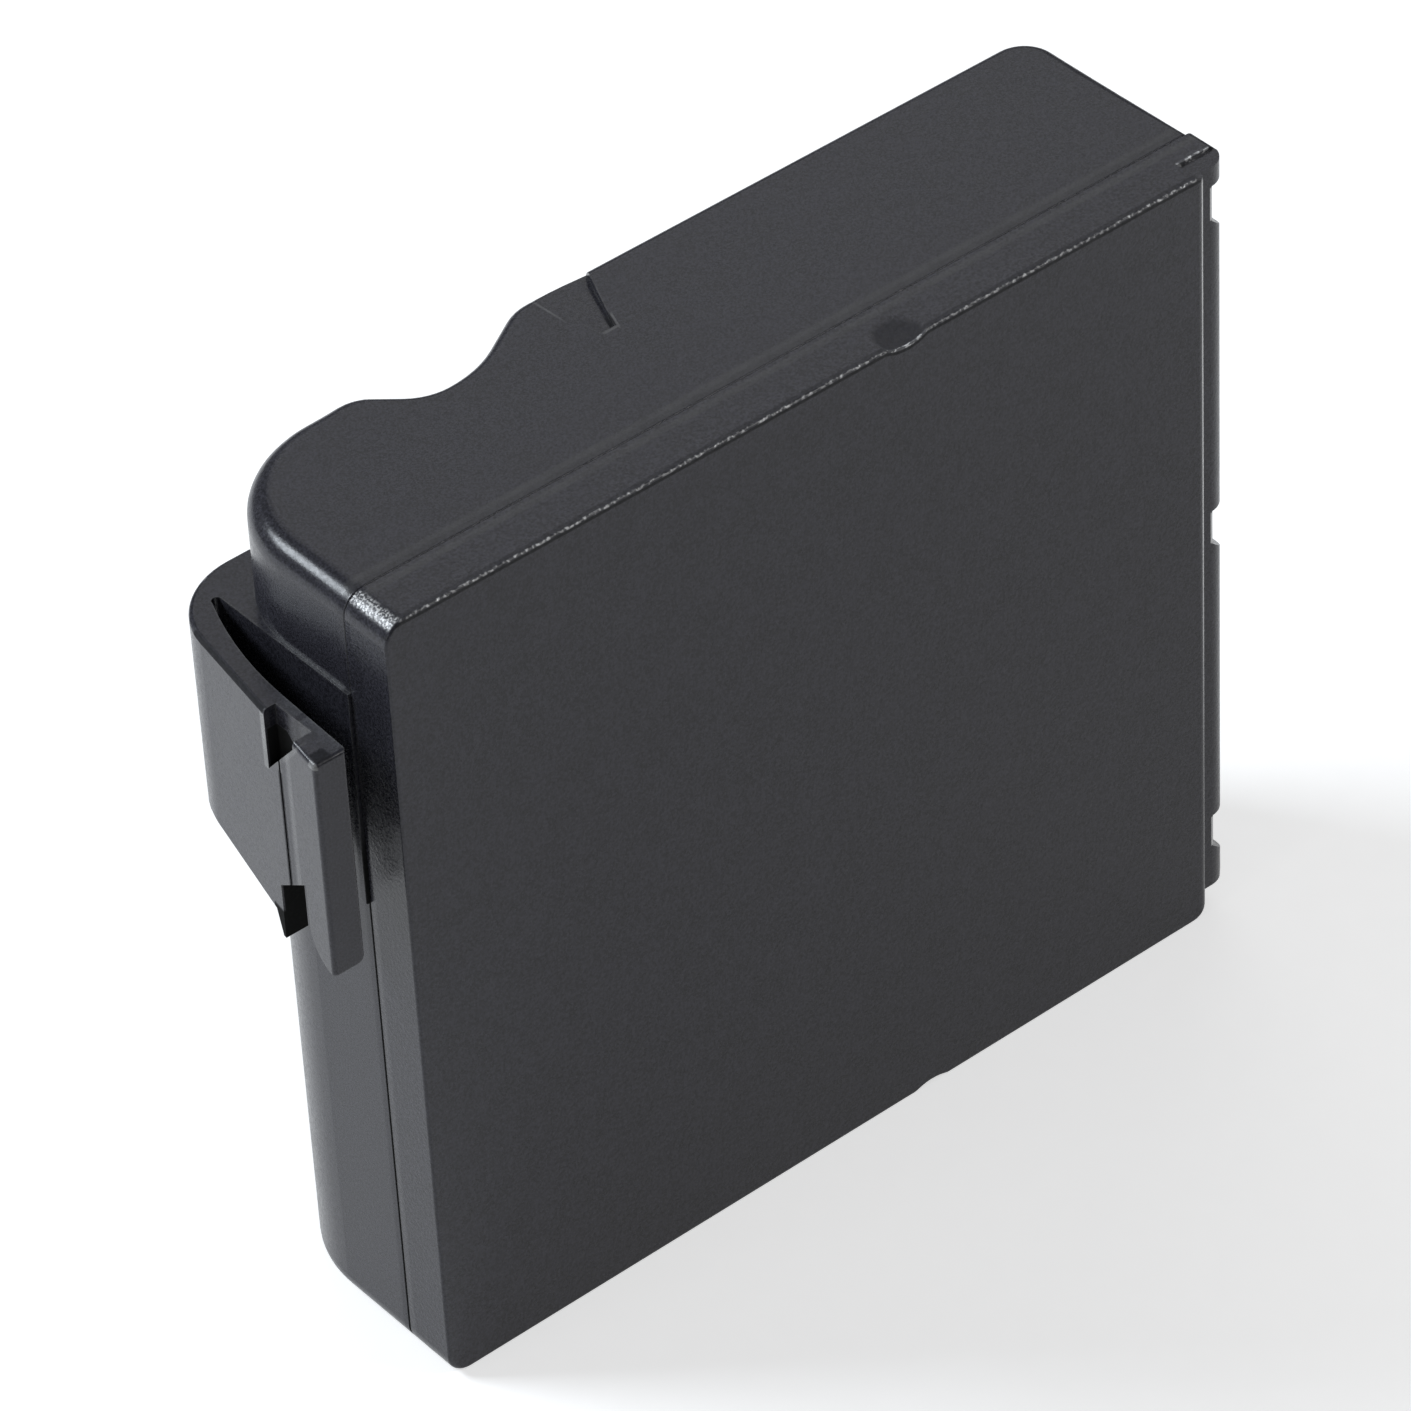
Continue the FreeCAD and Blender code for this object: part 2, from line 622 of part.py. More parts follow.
def strip_notch(index):
    """A notch in the strip: level upper wall, floor set in from the end, ramp running down and out."""
    top = BODY_HEIGHT - NOTCH_FROM_TOP - index * NOTCH_PITCH
    floor_x = COVER_LENGTH - NOTCH_DEPTH
    outside_x = COVER_LENGTH + OVERCUT
    drop = NOTCH_RAMP * (outside_x - floor_x) / NOTCH_DEPTH
    return prism([
        vec(floor_x, -OVERCUT, top),
        vec(outside_x, -OVERCUT, top),
        vec(outside_x, -OVERCUT, top - NOTCH_HEIGHT - drop),
        vec(floor_x, -OVERCUT, top - NOTCH_HEIGHT),
    ], vec(0, OVERCUT + NOTCH_REACH, 0))


def dimples():
    """Shallow round hollows in the cover's top and bottom."""
    radius = (DIMPLE_WIDTH ** 2 / 4 + DIMPLE_DEPTH ** 2) / (2 * DIMPLE_DEPTH)
    lift = radius - DIMPLE_DEPTH
    return [Part.makeSphere(radius, vec(DIMPLE_FROM_WALL, DIMPLE_FROM_FRONT, z))
            for z in (-lift, BODY_HEIGHT + lift)]


def front_cover():
    """The shallow front shell with a tongue that enters the housing's rim."""
    block = rounded_block(0, COVER_LENGTH, 0, SEAM_DEPTH, 0)
    block = block.makeFillet(COVER_EDGE, edges_in_plane(block, 0))
    block = block.makeFillet(SEAM_EDGE, edges_in_plane(block, SEAM_DEPTH))
    body = block.common(slab(cover_outline(), 0, BODY_HEIGHT))
    body = body.cut(panel_corner_cut())
    tongue = rounded_block(0, BODY_LENGTH, SEAM_DEPTH - TONGUE_LENGTH, SEAM_DEPTH + TONGUE_LENGTH,
                           LIP_THICKNESS + LIP_CLEARANCE)
    body = body.fuse(tongue)
    body = body.cut(rounded_block(0, BODY_LENGTH, COVER_WALL, SEAM_DEPTH + OVERCUT, WALL))
    for index in range(NOTCH_COUNT):
        body = body.cut(strip_notch(index))
    body = body.cut(box(COVER_LENGTH - CORNER_CUT_WIDTH, COVER_LENGTH + OVERCUT, -OVERCUT, CORNER_CUT_REACH,
                        BODY_HEIGHT - CORNER_CUT_DEPTH, BODY_HEIGHT + OVERCUT))
    return body.cut(dimples()).removeSplitter()


def upright_cell():
    """One cell standing on its flat end, its cap on top, about the origin."""
    can_top = CELL_LENGTH - CAP_HEIGHT
    can = disc(0, 0, CELL_RADIUS, 0, can_top)
    rims = [edge for edge in can.Edges if edge.Curve.TypeId == "Part::GeomCircle"]
    can = can.makeChamfer(CELL_EDGE, rims)
    crimp_z = can_top - CRIMP_FROM_CAP
    crimp = disc(0, 0, CELL_RADIUS + OVERCUT, crimp_z, crimp_z + CRIMP_WIDTH)
    can = can.cut(crimp.cut(disc(0, 0, CELL_RADIUS - CRIMP_DEPTH, crimp_z, crimp_z + CRIMP_WIDTH)))
    cap = disc(0, 0, CAP_DIAMETER / 2, can_top - CELL_EDGE, CELL_LENGTH)
    cap_rims = [edge for edge in cap.Edges if edge.BoundBox.ZMin > can_top]
    return can.fuse(cap.makeChamfer(CAP_EDGE, cap_rims)).removeSplitter()


def upright_ring():
    """The insulating ring round a cell's cap, in the same place as the upright cell."""
    base = CELL_LENGTH - CAP_HEIGHT
    ring = disc(0, 0, CELL_RADIUS - RING_INSET, base, base + RING_THICKNESS)
    return ring.cut(disc(0, 0, RING_HOLE / 2, base, base + RING_THICKNESS))


def placed_at_cell(shape, index):
    """A shape drawn on an upright cell, turned over if need be and moved to its cell."""
    placed = shape.copy()
    if not points_up(index):
        placed.rotate(vec(0, 0, CELL_LENGTH / 2), AXIS_X, 180)
    placed.translate(vec(cell_x(index), CELL_Y, CELL_BOTTOM))
    return placed


def strap(first, last, z):
    """A flat strap along the ends of a run of cells."""
    return box(cell_x(first) - STRAP_OVERHANG, cell_x(last) + STRAP_OVERHANG,
               CELL_Y - STRAP_WIDTH / 2, CELL_Y + STRAP_WIDTH / 2, z, z + STRAP_THICKNESS)


def board_tab(z, tip_z):
    """The narrow end of a strap that passes over the last cell and folds onto the board's outer face."""
    y0 = CELL_Y + TAB_OFFSET - TAB_WIDTH / 2
    y1 = CELL_Y + TAB_OFFSET + TAB_WIDTH / 2
    fold_x = BOARD_FACE_X + STRAP_THICKNESS
    run = box(LAST_CELL_X, fold_x, y0, y1, z, z + STRAP_THICKNESS)
    low = min(z, tip_z)
    high = max(z + STRAP_THICKNESS, tip_z)
    return run.fuse(box(BOARD_FACE_X, fold_x, y0, y1, low, high))


def fuse_y():
    return CELL_Y - FUSE_OFFSET


def positive_strap_end():
    return cell_x(CELLS_UP - 1) + STRAP_OVERHANG


def fuse_start():
    return positive_strap_end() + CARD_SLOT_CLEARANCE


def fuse_bottom():
    return CELL_TOP + 2 * STRAP_THICKNESS + CARD_THICKNESS


def strap_positive():
    """The strap on the capped ends, with a tab that rises through the card to the fuse."""
    end = positive_strap_end()
    y0 = fuse_y() - FUSE_WIDTH / 2
    y1 = fuse_y() + FUSE_WIDTH / 2
    card_top = CELL_TOP + STRAP_THICKNESS + CARD_THICKNESS
    rise = box(end - STRAP_THICKNESS, end, y0, y1, CELL_TOP, card_top + STRAP_THICKNESS)
    flat = box(end - STRAP_THICKNESS, end + FUSE_TAB, y0, y1, card_top, card_top + STRAP_THICKNESS)
    return strap(0, CELLS_UP - 1, CELL_TOP).fuse([rise, flat]).removeSplitter()


def strap_negative():
    tab = board_tab(CELL_TOP, BOARD_TOP - SOLDER_LENGTH)
    return strap(CELLS_UP, CELL_COUNT - 1, CELL_TOP).fuse(tab).removeSplitter()


def strap_middle():
    z = CELL_BOTTOM - STRAP_THICKNESS
    tab = board_tab(z, BOARD_BOTTOM + SOLDER_LENGTH)
    return strap(0, CELL_COUNT - 1, z).fuse(tab).removeSplitter()


def card(z):
    """An insulating card between the straps and the housing's ribs."""
    return box(WALL + CARD_MARGIN, SHEET_X - CARD_MARGIN, CELL_Y - CARD_WIDTH / 2, CELL_Y + CARD_WIDTH / 2,
               z, z + CARD_THICKNESS)


def top_insulator():
    z = CELL_TOP + STRAP_THICKNESS
    end = positive_strap_end()
    half_width = FUSE_WIDTH / 2 + CARD_SLOT_CLEARANCE
    slot = box(end - STRAP_THICKNESS - CARD_SLOT_CLEARANCE, end + CARD_SLOT_CLEARANCE,
               fuse_y() - half_width, fuse_y() + half_width, z, z + CARD_THICKNESS)
    return card(z).cut(slot)


def end_pad():
    """A soft pad between the latch-end wall and the first cell."""
    front = SEAM_DEPTH + REBATE_DEPTH + PAD_FROM_RIM
    back = BODY_THICKNESS - ROUND_END_RADIUS - PAD_FROM_ROUND_END
    return box(WALL, WALL + PAD_SPACE - PAD_CLEARANCE, front, back,
               MIDDLE_Z - PAD_LENGTH / 2, MIDDLE_Z + PAD_LENGTH / 2)


def upright_plate(x, thickness, width):
    """A plate as tall as the circuit board, standing across the contact end."""
    return box(x, x + thickness, CELL_Y - width / 2, CELL_Y + width / 2, BOARD_BOTTOM, BOARD_TOP)


def on_board(y, z, width, length, height):
    """A flat part on the board's outer face, given by its middle."""
    return box(BOARD_FACE_X, BOARD_FACE_X + height,
               y - width / 2, y + width / 2, z - length / 2, z + length / 2)


def contact(index):
    """A bridge of sheet metal: a plate behind its window and two legs down to the board."""
    z = contact_z(index)
    height = CONTACT_SPACE - CONTACT_TO_WALL
    outside = on_board(CELL_Y, z, CONTACT_LENGTH, CONTACT_WIDTH, height)
    inner_length = CONTACT_LENGTH - 2 * CONTACT_SHEET
    hollow = on_board(CELL_Y, z, inner_length, CONTACT_WIDTH, height - CONTACT_SHEET)
    return outside.cut(hollow)


def positive_lead():
    """A round lead from the fuse over the cells and down the board's outer face."""
    start = vec(fuse_start() + FUSE_LENGTH, fuse_y(), fuse_bottom() + FUSE_HEIGHT / 2)
    down_x = BOARD_FACE_X + LEAD_CLEARANCE + LEAD_DIAMETER / 2
    bend_start = vec(down_x - LEAD_BEND, start.y, start.z)
    bend_end = vec(down_x, start.y, start.z - LEAD_BEND)
    centre = vec(bend_start.x, start.y, bend_end.z)
    diagonal = LEAD_BEND * math.sqrt(0.5)
    bend = Part.Arc(bend_start, centre + vec(diagonal, 0, diagonal), bend_end).toShape()
    end = vec(down_x, start.y, BOARD_TOP - LEAD_DROP)
    path = Part.Wire([line(start, bend_start), bend, line(bend_end, end)])
    section = Part.Wire(Part.makeCircle(LEAD_DIAMETER / 2, start, AXIS_X))
    return path.makePipeShell([section], True, False)


def thermal_fuse():
    return box(fuse_start(), fuse_start() + FUSE_LENGTH,
               fuse_y() - FUSE_WIDTH / 2, fuse_y() + FUSE_WIDTH / 2,
               fuse_bottom(), fuse_bottom() + FUSE_HEIGHT)


def thermistor():
    """A bead against the last cell, with two wires to the board's inner face."""
    reach = CELL_RADIUS + THERMISTOR_CLEARANCE + THERMISTOR_DIAMETER / 2
    place = around(vec(LAST_CELL_X, CELL_Y), reach, THERMISTOR_ANGLE)
    z = MIDDLE_Z + THERMISTOR_RISE
    bead = disc(place.x, place.y, THERMISTOR_DIAMETER / 2,
                z - THERMISTOR_LENGTH / 2, z + THERMISTOR_LENGTH / 2)
    wires = [Part.makeCylinder(THERMISTOR_WIRE / 2, BOARD_X - place.x,
                               vec(place.x, place.y, z + side * THERMISTOR_WIRE_PITCH / 2), AXIS_X)
             for side in (-1, 1)]
    return bead.fuse(wires).removeSplitter()


def board_parts():
    """The parts on the board's outer face: the gauge above the contacts, the rest below."""
    gauge_z = MIDDLE_Z + CONTACTS_HALF + PART_SPACING + GAUGE_CHIP_SIZE / 2
    mosfet_z = MIDDLE_Z - CONTACTS_HALF - PART_SPACING - MOSFET_LENGTH / 2
    resistor_z = mosfet_z - MOSFET_LENGTH / 2 - PART_SPACING - RESISTOR_LENGTH / 2
    return {
        "gauge_chip": on_board(CELL_Y, gauge_z, GAUGE_CHIP_SIZE, GAUGE_CHIP_SIZE, CHIP_HEIGHT),
        "mosfet_1": on_board(CELL_Y - MOSFET_PITCH / 2, mosfet_z, MOSFET_WIDTH, MOSFET_LENGTH, CHIP_HEIGHT),
        "mosfet_2": on_board(CELL_Y + MOSFET_PITCH / 2, mosfet_z, MOSFET_WIDTH, MOSFET_LENGTH, CHIP_HEIGHT),
        "sense_resistor": on_board(CELL_Y, resistor_z, RESISTOR_WIDTH, RESISTOR_LENGTH, RESISTOR_HEIGHT),
    }


def all_parts():
    rings = [placed_at_cell(upright_ring(), index) for index in range(CELL_COUNT)]
    parts = {
        "housing": housing(),
        "front_cover": front_cover(),
        "insulator_rings": Part.makeCompound(rings),
        "strap_positive": strap_positive(),
        "strap_negative": strap_negative(),
        "strap_middle": strap_middle(),
        "top_insulator": top_insulator(),
        "bottom_insulator": card(CELL_BOTTOM - STRAP_THICKNESS - CARD_THICKNESS),
        "end_pad": end_pad(),
        "board_insulator": upright_plate(SHEET_X, SHEET_THICKNESS, SHEET_WIDTH),
        "circuit_board": upright_plate(BOARD_X, BOARD_THICKNESS, BOARD_WIDTH),
        "thermal_fuse": thermal_fuse(),
        "positive_lead": positive_lead(),
        "thermistor": thermistor(),
    }
    parts.update(board_parts())
    for index in range(CELL_COUNT):
        parts["cell_%d" % (index + 1)] = placed_at_cell(upright_cell(), index)
    for index in range(CONTACT_COUNT):
        parts["contact_%d" % (index + 1)] = contact(index)
    return parts


os.makedirs("parts", exist_ok=True)
to_origin = vec(-(lever_corner().x + COVER_LENGTH) / 2, -BODY_THICKNESS / 2, 0)
for name, shape in all_parts().items():
    shape.translate(to_origin)
    shape.exportStep("parts/%s.step" % name)
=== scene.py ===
import json

import bpy
from mathutils import Matrix, Vector


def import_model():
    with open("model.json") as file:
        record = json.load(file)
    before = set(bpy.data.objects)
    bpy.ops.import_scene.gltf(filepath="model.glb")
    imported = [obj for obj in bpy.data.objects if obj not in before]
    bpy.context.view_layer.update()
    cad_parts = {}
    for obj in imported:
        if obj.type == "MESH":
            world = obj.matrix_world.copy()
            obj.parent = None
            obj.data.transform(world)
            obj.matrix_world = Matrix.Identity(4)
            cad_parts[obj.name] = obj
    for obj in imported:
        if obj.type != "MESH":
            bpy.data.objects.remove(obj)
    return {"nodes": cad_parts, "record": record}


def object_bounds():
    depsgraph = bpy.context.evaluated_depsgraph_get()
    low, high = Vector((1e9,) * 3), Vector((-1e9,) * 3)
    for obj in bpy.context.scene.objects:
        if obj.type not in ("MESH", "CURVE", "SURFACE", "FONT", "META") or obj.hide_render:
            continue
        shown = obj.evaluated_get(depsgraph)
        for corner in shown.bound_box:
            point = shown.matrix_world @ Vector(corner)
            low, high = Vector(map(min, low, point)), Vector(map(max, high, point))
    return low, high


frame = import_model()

CAD_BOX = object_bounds()
NODES = frame["nodes"]
SCENE = bpy.context.scene
SCENE.view_settings.view_transform = "Standard"

PER_METRE = 1000.0
MICRON = 1e-6
WHITE = (1.0, 1.0, 1.0, 1.0)

# The pack, in millimetres from the corner of its latch-end wall, front face and bottom.
# The far end of the cover and the box of the solids give that corner's place in metres.
COVER_LENGTH = 80.92
CORNER = Vector((CAD_BOX[1].x - COVER_LENGTH / PER_METRE, CAD_BOX[0].y, CAD_BOX[0].z))
HEIGHT = (CAD_BOX[1].z - CAD_BOX[0].z) * PER_METRE
SEAM_DEPTH = 4.8
LEVER_TOP = 64.65

# The dimple in the cover's top edge, a shallow bowl cut by a ball
DIMPLE_X = 48.4
DIMPLE_Y = 1.0
DIMPLE_WIDTH = 4.4
DIMPLE_DEPTH = 0.6
DIMPLE_RADIUS = (DIMPLE_WIDTH ** 2 / 4 + DIMPLE_DEPTH ** 2) / (2 * DIMPLE_DEPTH)
DIMPLE_CENTRE = HEIGHT + DIMPLE_RADIUS - DIMPLE_DEPTH

# Boxes and lines below are places of painted shade, painted highlights and sheen, and the seam's dark line.
# A side of a box has a low end, a high end and how far they fade, with a fourth number where the high end
# fades otherwise. None leaves an end open.

# The seam: its dark line on the latch end, and the painted sheen on its lips on the top
SEAM_LINE = {"width": 0.2, "place": SEAM_DEPTH, "x": (-0.5, 0.3, 0.1), "z": (None, 48.0, 8.0)}
LIP_TOP = (HEIGHT - 0.3, None, 0.3)
COVER_LIP_SHEEN = {"width": 0.45, "place": SEAM_DEPTH - 0.8, "z": LIP_TOP}
HOUSING_LIP_SHEEN = {"width": 0.75, "place": SEAM_DEPTH + 0.7, "z": LIP_TOP}
LIP_REACH = 0.8
LIP_HEIGHT = 50 * MICRON

# Painted shade on the latch: in its notches, on its tooth, in its crease, in the bar's hollow and on the
# lever's top rim.
# In the upper notch it climbs towards the back and stops under the lever's top.
UPPER_NOTCH = {"x": (-5.45, -4.3, 0.1), "y": (5.2, 7.8, 0.15), "z": (None, LEVER_TOP - 1.95, 0.2)}
UPPER_CLIMB = 1.24
UPPER_SHADE = (40.0, 54.8, 0.15)
LOWER_NOTCH = {"x": (-5.45, -3.4, 0.1), "y": (3.2, 7.8, 0.1), "z": (45.3, 51.4, 0.1)}
TOOTH = {"x": (-6.2, -3.6, 0.1), "y": (7.3, 8.9, 0.1), "z": (42.5, 45.5, 0.4)}
CREASE = {"width": 0.4, "place": 5.82, "x": (-7.0, -5.2, 0.1), "z": (40.0, 60.0, 0.4)}
BAR_HOLLOW = {"x": (-6.3, -5.3, 0.3), "y": (0.5, 1.3, 0.35), "z": (LEVER_TOP - 0.15, LEVER_TOP + 0.15, 0.1)}
LEVER_RIM_SHADE = {"x": (None, -3.8, 0.2), "y": (7.9, 18.0, 0.4), "z": (LEVER_TOP - 0.4, LEVER_TOP - 0.05, 0.05)}

# Painted highlights on rims of the latch. The upper notch's floor falls towards the back.
NOTCH_SIDE = {"width": 0.4, "place": 7.95, "x": (None, -5.3, 0.2), "z": (59.2, 64.1, 0.2)}
NOTCH_FLOOR_FALL = 1.12
NOTCH_FLOOR = {"width": 0.35, "place": 67.5, "x": (None, -5.7, 0.2), "y": (2.9, 5.0, 0.4)}
BAR_GLINT = {"width": 0.2, "place": -6.68, "y": (0.25, 1.0, 0.15),
             "z": (LEVER_TOP - 0.45, LEVER_TOP + 0.15, 0.1)}

# The dent in the top: painted highlights on its rims where it starts, at its tip and on its far side, and
# painted shade on that side
DENT_TOP = (HEIGHT - 0.3, None, 0.2)
DENT_START_LEAN = -0.066
DENT_START = {"width": 0.13, "place": 32.88, "y": (20.5, None, 2.3), "z": DENT_TOP}
DENT_TIP = {"width": 0.16, "place": 15.72, "x": (32.9, 34.1, 0.25), "z": DENT_TOP}
DENT_SIDE_LEAN = 0.35
DENT_SIDE = {"width": 0.14, "place": 28.68, "y": (15.8, 17.0, 0.5), "z": DENT_TOP}
DENT_SHADE = {"width": 0.3, "place": 28.35, "y": (16.0, 17.0, 0.15, 1.2), "z": (HEIGHT - 0.9, None, 0.1)}

# Painted highlights on the cover: glints along its front edge and the set-back corner's edge, glints down
# from the top of each notch in the strip, a painted reflection on the panel's far edge and painted sparkle
# on the top corner at the latch end
FRONT_EDGE_RADIUS = 0.23
RECESS_EDGE = {"radius": 0.28, "y": 2.35, "z": HEIGHT - 0.1}
RECESS_X = (77.2, 80.2, 0.2)
NOTCH_COUNT = 3
NOTCH_PITCH = 31.0
FIRST_NOTCH_TOP = HEIGHT - 2.0
NOTCH_GLINT = {"radius": 0.16, "x": 78.95, "y": 0.62}
GLINT_BOTTOM = 3.0
GLINT_TOP = 0.2
GLINT_FADE = 0.2
FAR_EDGE = {"x": (77.6, 77.98, 0.16), "y": (None, 0.5, 0.08), "z": (3.0, 72.6, 0.6)}
FAR_EDGE_FADE = (12.0, 50.0, 0.15, 1.0)
LATCH_CORNER = {"radius": 0.75, "x": 1.0, "z": HEIGHT - 0.27}
LATCH_CORNER_Y = (0.4, 4.6, 0.3)

# Painted shade on the cover, in strips on both sides of its front edge and on the dimple's floor
BELOW_EDGE = (-0.42, -0.26, 0.12)
FRONT_FACE = (None, 0.02, 0.03)
BEHIND_EDGE = {"y": (0.3, 0.5, 0.15), "z": (HEIGHT - 0.1, None, 0.1)}
DIMPLE_BOX = {"y": (0.25, None, 0.25), "z": (HEIGHT - DIMPLE_DEPTH, None, 0.1)}
DIMPLE_MARGIN = 0.3


# Node helpers


class Shader:
    """A material under construction: a Principled shader and the nodes that feed it."""

    def __init__(self, name):
        self.material = bpy.data.materials.new(name)
        self.material.use_nodes = True
        self.tree = self.material.node_tree
        self.tree.nodes.clear()
        output = self.add("ShaderNodeOutputMaterial")
        self.principled = self.add("ShaderNodeBsdfPrincipled")
        self.join(self.principled.outputs[0], output.inputs["Surface"])
        self.coords = self.add("ShaderNodeTexCoord").outputs["Object"]

    def add(self, kind, **settings):
        node = self.tree.nodes.new(kind)
        for key, value in settings.items():
            setattr(node, key, value)
        return node

    def join(self, source, target):
        self.tree.links.new(source, target)

    def put(self, target, value):
        """Links a node's output, or sets a plain value, on an input."""
        if isinstance(value, bpy.types.NodeSocket):
            self.join(value, target)
        else:
            target.default_value = value

    def set(self, **values):
        """Fills in inputs of the Principled shader."""
        for key, value in values.items():
            self.put(self.principled.inputs[key.replace("_", " ")], value)

    def math(self, operation, a, b=0.0, clamp=False):
        node = self.add("ShaderNodeMath", operation=operation, use_clamp=clamp)
        self.put(node.inputs[0], a)
        self.put(node.inputs[1], b)
        return node.outputs[0]

    def plus(self, a, b, clamp=False):
        return self.math("ADD", a, b, clamp)

    def less(self, a, b):
        return self.math("SUBTRACT", a, b)

    def times(self, a, b):
        return self.math("MULTIPLY", a, b)

    def square(self, value):
        return self.times(value, value)

    def root(self, value):
        return self.math("SQRT", value)

    def leaning(self, value, other, amount):
        """What stays the same along a line where a value grows by an amount for each unit of another."""
        return self.less(value, self.times(other, amount))

    def parts(self, vector):
        node = self.add("ShaderNodeSeparateXYZ")
        self.join(vector, node.inputs[0])
        return node.outputs

    def every(self, *masks):
        """One mask from several that all have to hold."""
        whole = masks[0]
        for mask in masks[1:]:
            whole = self.times(whole, mask)
        return whole

    def any(self, *masks):
        """One mask from several of which the strongest holds."""
        whole = masks[0]
        for mask in masks[1:]:
            whole = self.math("MAXIMUM", whole, mask)
        return whole

    def span(self, value, low, high, out_low=0.0, out_high=1.0):
        """A value stretched from one range to another, with a smooth start and end."""
        node = self.add("ShaderNodeMapRange", interpolation_type="SMOOTHSTEP")
        self.put(node.inputs["Value"], value)
        node.inputs["From Min"].default_value = low
        node.inputs["From Max"].default_value = high
        node.inputs["To Min"].default_value = out_low
        node.inputs["To Max"].default_value = out_high
        return node.outputs["Result"]

    def spread(self, noise, out_low=0.0, out_high=1.0):
        """Noise stretched to a range, because most of it lies near its middle."""
        return self.span(noise, 0.3, 0.7, out_low, out_high)

    def near(self, radius, a, b, solid=0.45):
        """A mask that fades out at a radius from where both offsets are nought."""
        reach = self.root(self.plus(self.square(a), self.square(b)))
        return self.span(reach, radius * solid, radius, 1.0, 0.0)

    def within(self, value, low, high, soft, soft_high=None):
        """A mask between two values, with soft ends outside them. None leaves an end open."""
        ends = []
        if low is not None:
            ends.append(self.span(value, low - soft, low))
        if high is not None:
            ends.append(self.span(value, high, high + (soft_high or soft), 1.0, 0.0))
        return self.every(*ends)

    def stretched(self, scale):
        node = self.add("ShaderNodeMapping")
        self.join(self.coords, node.inputs["Vector"])
        node.inputs["Scale"].default_value = scale
        return node.outputs[0]

    def noise(self, scale, detail=2.0, roughness=0.5, vector=None):
        """Noise from 0 to 1; scale counts blobs for each metre."""
        node = self.add("ShaderNodeTexNoise")
        self.join(vector or self.coords, node.inputs["Vector"])
        node.inputs["Scale"].default_value = scale
        node.inputs["Detail"].default_value = detail
        node.inputs["Roughness"].default_value = roughness
        return node.outputs["Fac"]

    def voronoi(self, scale, feature="F1"):
        """Distances in a pattern of cells; scale counts cells for each metre."""
        node = self.add("ShaderNodeTexVoronoi", feature=feature)
        self.join(self.coords, node.inputs["Vector"])
        node.inputs["Scale"].default_value = scale
        return node.outputs["Distance"]

    def blend(self, factor, a, b, kind="RGBA"):
        """A mix of two colours, or of two vectors."""
        node = self.add("ShaderNodeMix", data_type=kind)
        self.put(node.inputs["Factor"], factor)
        self.put(node.inputs["A"], a)
        self.put(node.inputs["B"], b)
        return node.outputs["Result"]

    def facing(self):
        """The direction that the surface faces."""
        return self.add("ShaderNodeNewGeometry").outputs["Normal"]

    def edges(self, radius, sharp=0.80, flat=0.97):
        """A mask along edges, where the surface turns within a radius, by the cosine of the turn."""
        turned = self.add("ShaderNodeBevel", samples=4)
        turned.inputs["Radius"].default_value = radius
        both = self.add("ShaderNodeVectorMath", operation="DOT_PRODUCT")
        self.join(turned.outputs[0], both.inputs[0])
        self.join(self.facing(), both.inputs[1])
        return self.span(both.outputs["Value"], sharp, flat, 1.0, 0.0)

    def flattened(self, mask, share=0.95):
        """The surface's own direction, turned almost upwards where a mask holds."""
        return self.blend(self.times(mask, share), self.facing(), (0.0, 0.0, 1.0), "VECTOR")

    def bump(self, height, distance, normal=None):
        """Relief on the surface; distance is in metres."""
        node = self.add("ShaderNodeBump")
        self.join(height, node.inputs["Height"])
        node.inputs["Distance"].default_value = distance
        node.inputs["Strength"].default_value = 1.0
        if normal is not None:
            self.join(normal, node.inputs["Normal"])
        return node.outputs["Normal"]

    def surface(self, tone, colours, rough, relief, height, metallic=0.0):
        """Fills in a colour that goes from one to another by a tone, the gloss and the relief."""
        self.set(Base_Color=self.blend(tone, *colours), Roughness=rough, Metallic=metallic)
        self.set(Normal=self.bump(relief, height))
        return self.material


def grey(value, tint=(1.0, 1.0, 1.0)):
    return tuple(value * part for part in tint) + (1.0,)


# Case materials

# The case's black with its cool cast, and how far specks and mottling take it up and down
CASE_BLACK = 0.031
CASE_CONTRAST = 0.45
COOL = (0.97, 0.96, 1.22)
MOTTLE_SHADE = 0.06
SPECK_SHADE = 0.30

# The greys of painted shade, the seam's dark line, painted sheen and highlights, and scuffs
SHADE_AND_SEAM_BLACK = grey(0.001)
PAINTED_SHADE_GREY = grey(0.004)
LIP_SHEEN_GREY = grey(0.07)
SCUFFED = grey(0.11)
RIM_HIGHLIGHT_GREY = grey(0.22)
GLINT_WHITE = grey(0.9)

# How strongly marks show, from 0 to 1
LIP_SHEEN_STRENGTH = 0.5
FAINT_SHADE = 0.6
FAINT_RIM_HIGHLIGHT = 0.5
LEVER_RIM_SHADE_STRENGTH = 0.7
BELOW_EDGE_SHADE_STRENGTH = 0.8
BEHIND_EDGE_SHADE_SHARE = 0.35
DIMPLE_SHADE_STRENGTH = 0.35

# What marks add to the roughness, or take from it at the painted glints
SHADE_AND_SEAM_ROUGHNESS = 0.75
SHADE_ROUGHNESS = 0.4
DIMPLE_ROUGHNESS = 0.22
GLINT_POLISH = 0.12


